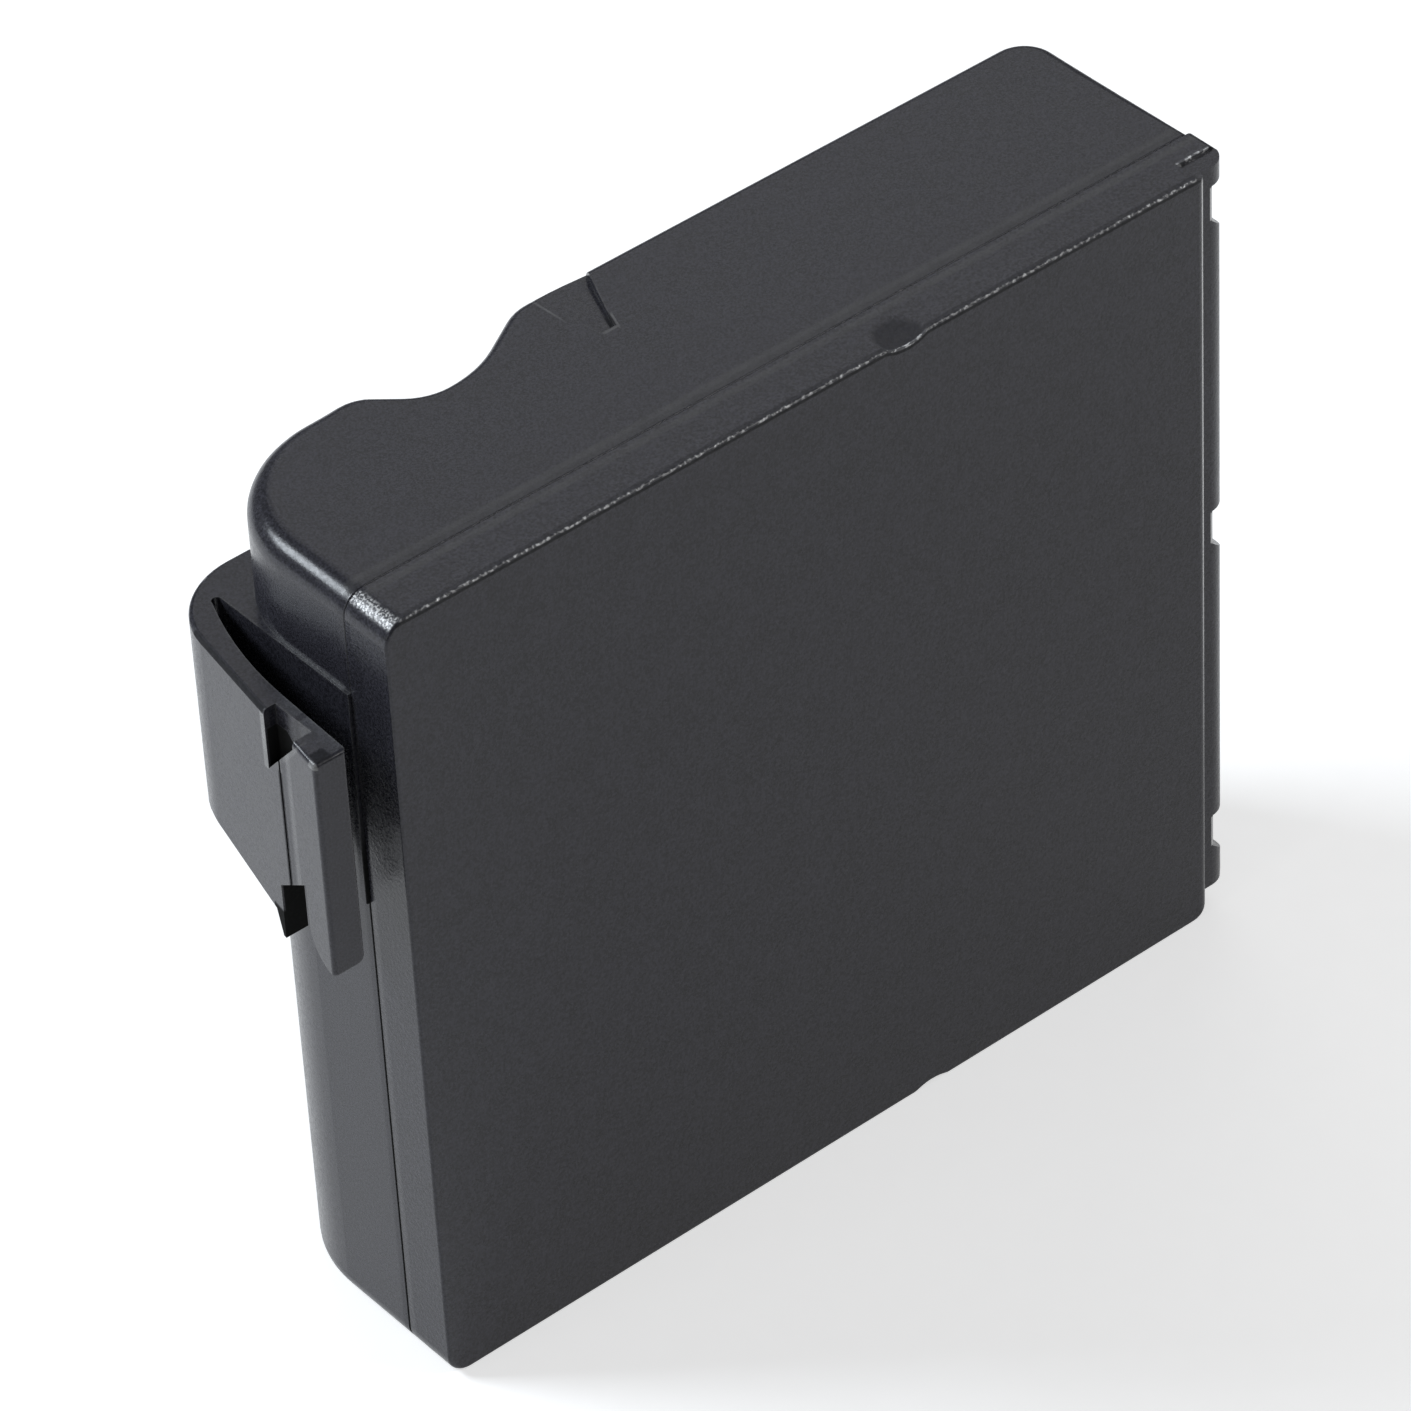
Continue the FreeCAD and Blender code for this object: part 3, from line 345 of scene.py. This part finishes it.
class CasePlastic(Shader):
    """Black moulded plastic: spark-eroded grain, faint mottling and soft lips along the seam."""

    def __init__(self, name, grain_scale, grain_height, rough_low, rough_high):
        super().__init__(name)
        self.x, self.y, self.z = self.millimetres()
        self.grain = self.noise(grain_scale, roughness=0.55)
        self.speck = self.noise(grain_scale * 1.7, detail=1.0)
        self.mottle = self.noise(420.0, detail=4.0, roughness=0.55)
        polish = self.span(self.grain, 0.35, 0.7, rough_high, rough_low)
        self.rough = self.plus(polish, self.spread(self.mottle, -0.02, 0.02))
        self.grain_height = grain_height
        self.normal = None
        self.set(Specular_IOR_Level=0.35)

    def millimetres(self):
        """The place on the surface, in millimetres from the corner."""
        node = self.add("ShaderNodeVectorMath", operation="SUBTRACT")
        self.join(self.coords, node.inputs[0])
        node.inputs[1].default_value = CORNER
        return [self.times(part, PER_METRE) for part in self.parts(node.outputs[0])]

    def box(self, **sides):
        """A mask inside a box, whose sides are given by axis."""
        return self.every(*[self.within(getattr(self, axis), *side) for axis, side in sides.items()])

    def line(self, value, width, place, **sides):
        """A mask along a line, where a value meets a place, inside a box."""
        return self.every(self.near(width, self.less(value, place), 0.0), self.box(**sides))

    def edge(self, radius, **places):
        """A mask along an edge, given by its places on two axes."""
        return self.near(radius, *[self.less(getattr(self, axis), place) for axis, place in places.items()])

    def seam_line(self):
        """A mask for the dark line of the seam on the latch end."""
        return self.line(self.y, **SEAM_LINE)

    def colour(self):
        """The black, a little uneven, finely specked and painted paler on the seam's lips, a painted sheen.
        """
        uneven = self.spread(self.mottle, -MOTTLE_SHADE, MOTTLE_SHADE)
        specked = self.span(self.speck, 0.25, 0.75, -SPECK_SHADE, SPECK_SHADE)
        most = MOTTLE_SHADE + SPECK_SHADE
        darker = grey(CASE_BLACK * (1 - CASE_CONTRAST), COOL)
        lighter = grey(CASE_BLACK * (1 + CASE_CONTRAST), COOL)
        black = self.blend(self.span(self.plus(uneven, specked), -most, most), darker, lighter)
        # Painted sheen: the seam's lips are painted paler, standing in for the light they catch.
        lips = self.any(self.line(self.y, **COVER_LIP_SHEEN), self.line(self.y, **HOUSING_LIP_SHEEN))
        lip_sheen = self.every(lips, self.spread(self.mottle, 0.5, 1.0))
        return self.blend(self.times(lip_sheen, LIP_SHEEN_STRENGTH), black, LIP_SHEEN_GREY)

    def finish(self, colour, rough):
        """Joins the colour, the gloss and the relief."""
        from_seam = self.math("ABSOLUTE", self.less(self.y, SEAM_DEPTH))
        lips = self.bump(self.span(from_seam, 0.0, LIP_REACH), LIP_HEIGHT, self.normal)
        relief = self.bump(self.grain, self.grain_height, lips)
        self.set(Base_Color=colour, Roughness=rough, Normal=relief)
        return self.material


def latch_shade(s):
    """A mask for painted shade in the latch's notches and on its tooth and, more faintly, in its crease and
    the bar's hollow.
    """
    climbing = s.leaning(s.z, s.y, UPPER_CLIMB)
    upper = s.every(s.box(**UPPER_NOTCH), s.within(climbing, *UPPER_SHADE))
    faint = s.times(s.any(s.line(s.y, **CREASE), s.box(**BAR_HOLLOW)), FAINT_SHADE)
    return s.any(upper, s.box(**LOWER_NOTCH), s.box(**TOOTH), faint)


def dent_shade(s):
    """A mask for faint painted shade on the far side of the dent in the top."""
    return s.times(s.line(s.leaning(s.x, s.y, DENT_SIDE_LEAN), **DENT_SHADE), FAINT_SHADE)


def rim_highlights(s):
    """A mask for painted highlights on the rims of the upper notch, the pull bar and the dent in the top.
    """
    notch_floor = s.line(s.leaning(s.z, s.y, -NOTCH_FLOOR_FALL), **NOTCH_FLOOR)
    start = s.line(s.leaning(s.x, s.y, DENT_START_LEAN), **DENT_START)
    tip = s.line(s.y, **DENT_TIP)
    side = s.line(s.leaning(s.x, s.y, DENT_SIDE_LEAN), **DENT_SIDE)
    faint = s.times(s.any(notch_floor, start, tip, side), FAINT_RIM_HIGHLIGHT)
    rims = s.any(s.line(s.y, **NOTCH_SIDE), faint, s.line(s.x, **BAR_GLINT))
    return s.every(rims, s.spread(s.mottle, 0.6, 1.0))


def housing_material():
    """The housing: satin, scuffed along its sharp edges, with painted shade in the latch's notches and
    painted highlights on rims of the latch and the dent.
    """
    s = CasePlastic("housing_plastic", grain_scale=3400.0, grain_height=7 * MICRON,
                    rough_low=0.19, rough_high=0.29)
    # Painted shade: the lever's top rim is painted darker.
    rim_shade = s.times(s.box(**LEVER_RIM_SHADE), LEVER_RIM_SHADE_STRENGTH)
    # Painted shade in the latch, on its rim and by the dent, together with the seam's real dark line.
    painted_dark = s.any(latch_shade(s), dent_shade(s), s.seam_line(), rim_shade)
    patches = s.span(s.noise(900.0, detail=3.0, roughness=0.6), 0.35, 0.65, 0.25, 1.0)
    scuff = s.every(s.edges(250 * MICRON), patches)
    colour = s.blend(scuff, s.colour(), SCUFFED)
    # Painted highlights on the rims of the notch, the bar and the dent.
    colour = s.blend(rim_highlights(s), colour, RIM_HIGHLIGHT_GREY)
    colour = s.blend(painted_dark, colour, SHADE_AND_SEAM_BLACK)
    return s.finish(colour, s.plus(s.rough, s.times(painted_dark, SHADE_AND_SEAM_ROUGHNESS), clamp=True))


def above_top_edge(s):
    """How far a place lies above the cover's top edge, which sinks at the dimple."""
    bowl = s.less(DIMPLE_RADIUS ** 2 - DIMPLE_Y ** 2, s.square(s.less(s.x, DIMPLE_X)))
    sunk = s.less(DIMPLE_CENTRE, s.root(s.math("MAXIMUM", bowl, 0.0)))
    return s.less(s.z, s.math("MINIMUM", sunk, HEIGHT))


def painted_glints(s, above):
    """A mask for the painted glints and highlights on the cover: its front edge, notches, far edge and
    latch-end corner.
    """
    points = s.span(s.noise(3000.0, detail=1.0), 0.47, 0.65, 0.10, 1.0)
    patches = s.span(s.noise(700.0, roughness=0.6), 0.35, 0.62, 0.45, 1.0)
    sparks = s.span(s.noise(5200.0, detail=1.0), 0.42, 0.62, 0.05, 0.75)
    front_edge = s.near(FRONT_EDGE_RADIUS, s.y, above)
    recess_edge = s.every(s.edge(**RECESS_EDGE), s.box(x=RECESS_X))
    chain = s.every(s.any(front_edge, recess_edge), points, patches)
    tops = [FIRST_NOTCH_TOP - i * NOTCH_PITCH for i in range(NOTCH_COUNT)]
    notches = s.any(*[s.box(z=(top - GLINT_BOTTOM, top - GLINT_TOP, GLINT_FADE)) for top in tops])
    glints = s.every(s.edge(**NOTCH_GLINT), notches)
    far_edge = s.every(s.box(**FAR_EDGE), s.span(s.z, *FAR_EDGE_FADE))
    corner = s.every(s.edge(**LATCH_CORNER), s.box(y=LATCH_CORNER_Y), sparks)
    return s.any(chain, far_edge, glints, corner)


def cover_material():
    """The cover: coarser grain, with painted glints along its front edge and far edge and painted shade
    beside the front edge and in the dimple.
    """
    s = CasePlastic("cover_plastic", grain_scale=3000.0, grain_height=24 * MICRON,
                    rough_low=0.20, rough_high=0.30)
    above = above_top_edge(s)
    # Painted glints, and a painted reflection on the far edge, along the cover's edges.
    painted_glint = painted_glints(s, above)
    # Painted shade in strips on both sides of the front edge.
    below_edge = s.every(s.within(above, *BELOW_EDGE), s.box(y=FRONT_FACE))
    shade = s.any(below_edge, s.times(s.box(**BEHIND_EDGE), BEHIND_EDGE_SHADE_SHARE))
    offsets = s.less(s.x, DIMPLE_X), s.less(s.y, DIMPLE_Y)
    inside = s.box(**DIMPLE_BOX)
    s.normal = s.flattened(s.every(s.near(DIMPLE_WIDTH / 2 + DIMPLE_MARGIN, *offsets, solid=0.9), inside))
    specks = s.span(s.speck, 0.3, 0.6, 0.6, 1.0)
    # Painted shade on the dimple's floor.
    dimple = s.every(s.near(DIMPLE_WIDTH / 2, *offsets, solid=0.7), inside, specks)
    painted_dark = s.any(s.times(dimple, DIMPLE_SHADE_STRENGTH), s.times(shade, BELOW_EDGE_SHADE_STRENGTH))
    colour = s.blend(painted_dark, s.colour(), PAINTED_SHADE_GREY)
    colour = s.blend(s.seam_line(), colour, SHADE_AND_SEAM_BLACK)
    colour = s.blend(painted_glint, colour, GLINT_WHITE)
    rougher = s.any(s.times(dimple, DIMPLE_ROUGHNESS), s.times(shade, SHADE_ROUGHNESS))
    polished = s.less(s.rough, s.times(painted_glint, GLINT_POLISH))
    return s.finish(colour, s.plus(polished, rougher))


# Materials inside


def sleeve_material():
    """Shrink sleeve on a cell: glossy film with faint lengthwise ripples."""
    s = Shader("cell_sleeve_film")
    ripple = s.noise(500.0, vector=s.stretched((1.0, 1.0, 0.05)))
    tone = s.noise(160.0, detail=3.0)
    return s.surface(s.spread(tone), colours=((0.012, 0.085, 0.19, 1), (0.02, 0.12, 0.25, 1)),
                     rough=s.spread(ripple, 0.22, 0.34), relief=ripple, height=40 * MICRON)


def nickel_material():
    """Rolled nickel strip with fine lengthwise lines."""
    s = Shader("rolled_nickel")
    lines = s.noise(3000.0, vector=s.stretched((0.04, 1.0, 1.0)))
    stain = s.noise(300.0, detail=4.0)
    return s.surface(s.span(stain, 0.35, 0.7), colours=((0.58, 0.56, 0.51, 1), (0.68, 0.66, 0.62, 1)),
                     rough=s.spread(lines, 0.25, 0.42), relief=lines, height=6 * MICRON, metallic=1.0)


def card_material():
    """Grey-green insulating card with a fibrous surface."""
    s = Shader("insulating_card")
    fibre = s.noise(2600.0, detail=4.0, roughness=0.65, vector=s.stretched((0.3, 1.0, 1.0)))
    return s.surface(s.spread(fibre), colours=((0.24, 0.30, 0.24, 1), (0.36, 0.42, 0.35, 1)),
                     rough=s.spread(fibre, 0.7, 0.9), relief=fibre, height=30 * MICRON)


def foam_material():
    """Soft black foam with open cells."""
    s = Shader("pad_foam_cells")
    cells = s.voronoi(2200.0)
    return s.surface(s.span(cells, 0.1, 0.6), colours=((0.012, 0.012, 0.013, 1), (0.045, 0.045, 0.048, 1)),
                     rough=s.span(cells, 0.0, 0.6, 0.85, 0.95), relief=cells, height=150 * MICRON)


def board_material():
    """Green solder mask over buried copper tracks, with glass weave showing faintly."""
    s = Shader("solder_mask")
    tracks = s.span(s.voronoi(260.0, "DISTANCE_TO_EDGE"), 0.05, 0.09)
    weave = s.noise(1800.0)
    green = s.blend(tracks, (0.03, 0.16, 0.05, 1), (0.012, 0.085, 0.028, 1))
    return s.surface(s.spread(weave, 0.0, 0.3), colours=(green, (0.02, 0.07, 0.03, 1)),
                     rough=s.spread(weave, 0.3, 0.42), relief=tracks, height=30 * MICRON)


def chip_material():
    """Black moulding compound with a fine dusty grain."""
    s = Shader("moulding_compound")
    grain = s.noise(4200.0, detail=3.0, roughness=0.6)
    return s.surface(s.spread(grain), colours=(grey(0.014), grey(0.028)),
                     rough=s.spread(grain, 0.55, 0.75), relief=grain, height=10 * MICRON)


def plating_material():
    """Gold plating with rub marks where contacts have slid along Y."""
    s = Shader("contact_plating_worn")
    rubs = s.noise(2600.0, detail=3.0, roughness=0.6, vector=s.stretched((1.0, 0.06, 1.0)))
    return s.surface(s.span(rubs, 0.35, 0.75), colours=((0.80, 0.58, 0.24, 1), (0.86, 0.70, 0.42, 1)),
                     rough=s.spread(rubs, 0.2, 0.4), relief=rubs, height=5 * MICRON, metallic=1.0)


def jacket_material():
    """Red lead insulation, slightly uneven."""
    s = Shader("lead_insulation")
    uneven = s.noise(900.0, detail=3.0)
    return s.surface(s.spread(uneven), colours=((0.24, 0.012, 0.012, 1), (0.36, 0.03, 0.025, 1)),
                     rough=s.spread(uneven, 0.35, 0.5), relief=uneven, height=20 * MICRON)


BY_NODE = {"housing": housing_material(), "front_cover": cover_material()}
BY_SLOT = {
    "cell_sleeve": sleeve_material(),
    "nickel": nickel_material(),
    "insulator_card": card_material(),
    "pad_foam": foam_material(),
    "board_laminate": board_material(),
    "chip_body": chip_material(),
    "contact_plating": plating_material(),
    "lead_jacket": jacket_material(),
}


def paint(node, material):
    slots = node.data.materials
    slots.clear()
    slots.append(material)


SLOT_OF = {part["node"]: part["material_slot"] for part in frame["record"]["subparts"]}
for name, node in NODES.items():
    paint(node, BY_NODE.get(name) or BY_SLOT[SLOT_OF[name]])


# Floor, light and camera, in metres

# How much the floor is lifted for the camera and in reflections. The lift fades to a quarter, by the square
# of the distance from the middle.
FLOOR_SIZE = 6.0
SEEN_LIFT = 0.54
MIRRORED_LIFT = 0.42
LIFT_FADE = (0.02, 0.30, 1.0, 0.25)

SKY_COLOUR = (0.97, 0.985, 1.0, 1)
SKY_STRENGTH = 0.15

LAMP_TARGET = Vector((0.0, 0.0, 0.036))
LAMPS = {
    "key_left": {"place": (-0.36, 0.42, 0.46), "size": (0.28, 0.20), "power": 3.2,
                 "colour": (0.87, 0.935, 1.0)},
    "side_soft": {"place": (-0.80, 0.02, 0.24), "size": (0.40, 0.30), "power": 0.62},
    "front_glint": {"place": (0.33, -0.45, 0.45), "size": (0.15, 0.10), "power": 0.8},
    "back_soft": {"place": (0.42, 0.55, 0.62), "size": (0.50, 0.50), "power": 0.6},
}

# The camera fitted to the photograph: pixels, directions, and its place in millimetres from the corner
SENSOR_WIDTH = 36.0
PHOTO_PIXELS = 1411.0
FOCAL_PIXELS = 7838.97
CAMERA_RIGHT = Vector((0.764777, -0.642861, -0.042972))
CAMERA_DOWN = Vector((-0.438828, -0.470893, -0.765303))
CAMERA_FORWARD = Vector((0.471748, 0.604144, -0.642234))
CAMERA_PLACE = CORNER + Vector((-242.575, -346.472, 418.773)) / PER_METRE


def floor():
    """A pale table. Eyes and reflections see it lifted towards white; its shadow stays."""
    bpy.ops.mesh.primitive_plane_add(size=FLOOR_SIZE, location=(0, 0, 0))
    plane = bpy.context.object
    plane.name = "floor"
    s = Shader("pale_floor")
    path = s.add("ShaderNodeLightPath").outputs
    mirrored = s.any(path["Is Glossy Ray"], path["Is Transmission Ray"])
    lift = s.any(s.times(path["Is Camera Ray"], SEEN_LIFT), s.times(mirrored, MIRRORED_LIFT))
    x, y, _ = s.parts(s.coords)
    nearby = s.span(s.plus(s.square(x), s.square(y)), *LIFT_FADE)
    colour = s.blend(s.spread(s.noise(400.0)), grey(0.90), grey(0.92))
    s.set(Base_Color=colour, Roughness=0.9, Specular_IOR_Level=0.0)
    s.set(Emission_Color=WHITE, Emission_Strength=s.every(lift, nearby))
    plane.data.materials.append(s.material)


def world():
    """An even, dim sky."""
    sky = bpy.data.worlds.new("studio")
    SCENE.world = sky
    sky.use_nodes = True
    tree = sky.node_tree
    tree.nodes.clear()
    out = tree.nodes.new("ShaderNodeOutputWorld")
    fill = tree.nodes.new("ShaderNodeBackground")
    fill.inputs["Color"].default_value = SKY_COLOUR
    fill.inputs["Strength"].default_value = SKY_STRENGTH
    tree.links.new(fill.outputs[0], out.inputs["Surface"])


def lamp(name, place, size, power, colour=(1, 1, 1)):
    """A rectangular lamp that faces the middle of the pack."""
    data = bpy.data.lights.new(name, "AREA")
    data.shape = "RECTANGLE"
    data.size, data.size_y = size
    data.energy = power
    data.color = colour
    light = bpy.data.objects.new(name, data)
    SCENE.collection.objects.link(light)
    light.location = place
    light.rotation_euler = (LAMP_TARGET - Vector(place)).to_track_quat("-Z", "Y").to_euler()


def camera():
    """The camera of the photograph."""
    data = bpy.data.cameras.new("camera")
    data.sensor_width = SENSOR_WIDTH
    data.lens = SENSOR_WIDTH * FOCAL_PIXELS / PHOTO_PIXELS
    data.clip_start = 0.01
    data.clip_end = 20.0
    view = bpy.data.objects.new("camera", data)
    SCENE.collection.objects.link(view)
    turn = Matrix((CAMERA_RIGHT, -CAMERA_DOWN, -CAMERA_FORWARD)).transposed()
    view.matrix_world = Matrix.Translation(CAMERA_PLACE) @ turn.to_4x4()
    SCENE.camera = view


floor()
world()
for name, settings in LAMPS.items():
    lamp(name, **settings)
camera()
